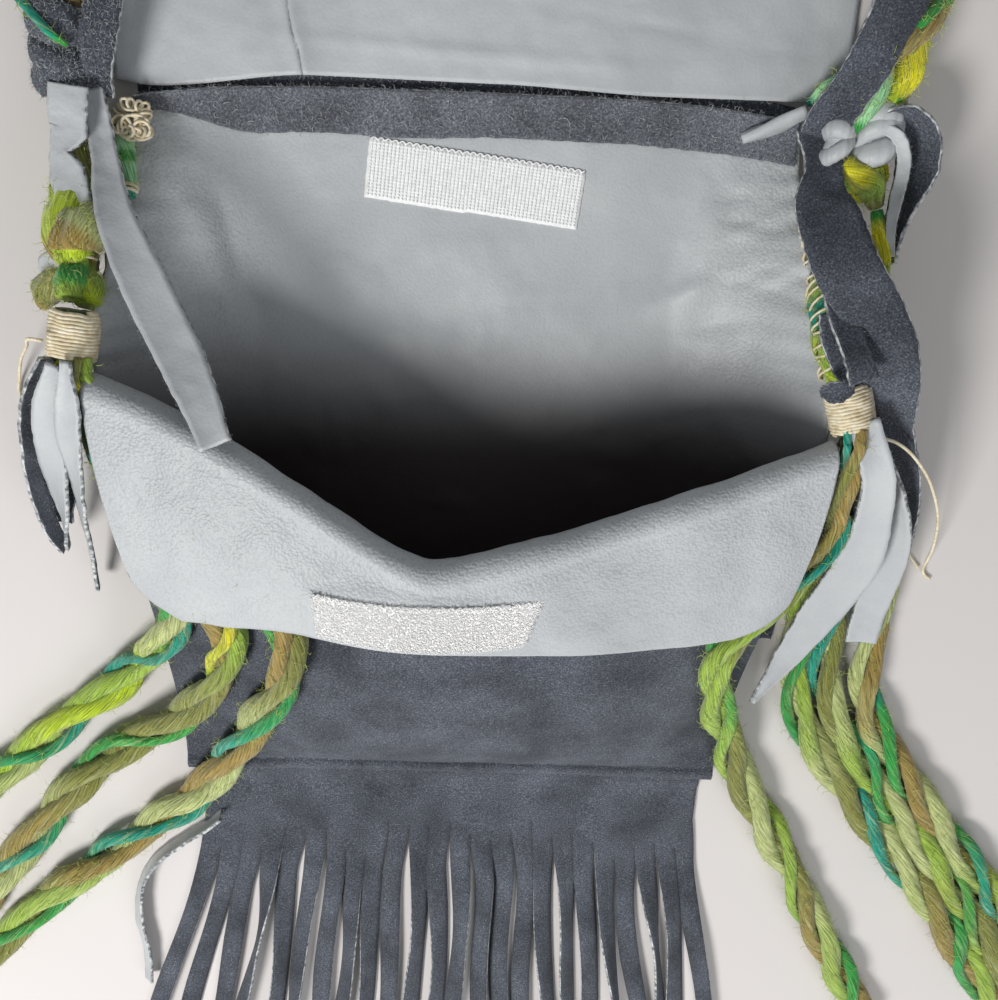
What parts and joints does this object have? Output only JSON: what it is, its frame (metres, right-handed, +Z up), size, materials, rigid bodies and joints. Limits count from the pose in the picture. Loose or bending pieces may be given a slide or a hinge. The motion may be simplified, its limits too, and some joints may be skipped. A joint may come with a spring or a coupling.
{
  "type": "leather crossbody bag",
  "caption": "Soft handmade leather crossbody bag with an open flap, a turned-down cuff, a slit fringe and yarn tassels, lying on its back with the mouth propped open.",
  "frame": {"origin": "middle of the bottom seam, on the underside of the back panel", "axes": "+X to the wearer's right of the open mouth, +Y from the bottom seam towards the mouth and the flap, +Z up from the surface that the bag lies on"},
  "size_m": [0.5417, 0.8875, 0.0719],
  "materials": {
    "suede": "fuzzy split suede, slate grey",
    "grain": "smooth matt grain, light cool grey",
    "tape": "woven hook and loop tape, white",
    "yarn_1": "soft wool, lime",
    "yarn_2": "soft wool, teal",
    "yarn_3": "soft wool, ochre",
    "thread": "waxed thread, cream"
  },
  "bodies": {
    "bag": {"back_panel": "suede", "front_panel": "suede", "top_band": "suede", "hook_patch": "tape", "loop_patch": "tape", "fringe": "suede", "left_edge_rope": "yarn_1", "right_edge_rope": "yarn_1", "left_whipping": "thread", "right_whipping": "thread", "left_strap_knot": "suede", "right_strap_knot": "grain", "strap": "yarn_3", "left_yarn_1": "yarn_1", "left_yarn_2": "yarn_2", "left_yarn_3": "yarn_3", "right_yarn_1": "yarn_1", "right_yarn_2": "yarn_2", "right_yarn_3": "yarn_3", "right_yarn_4": "yarn_1", "left_front_thong": "grain", "right_front_thong": "suede", "right_outer_thong": "grain", "left_tail_1": "grain", "left_tail_2": "grain", "right_pointed_tail": "grain", "right_square_tail": "grain", "right_suede_tail": "suede"},
    "flap": {"flap": "suede"}
  },
  "joints": [
    {"name": "flap_fold", "type": "hinge", "parent": "bag", "child": "flap", "pos_m": [0, 0.29085, 0.0032], "axis": [1, 0, 0], "range_deg": [0, 118]}
  ]
}
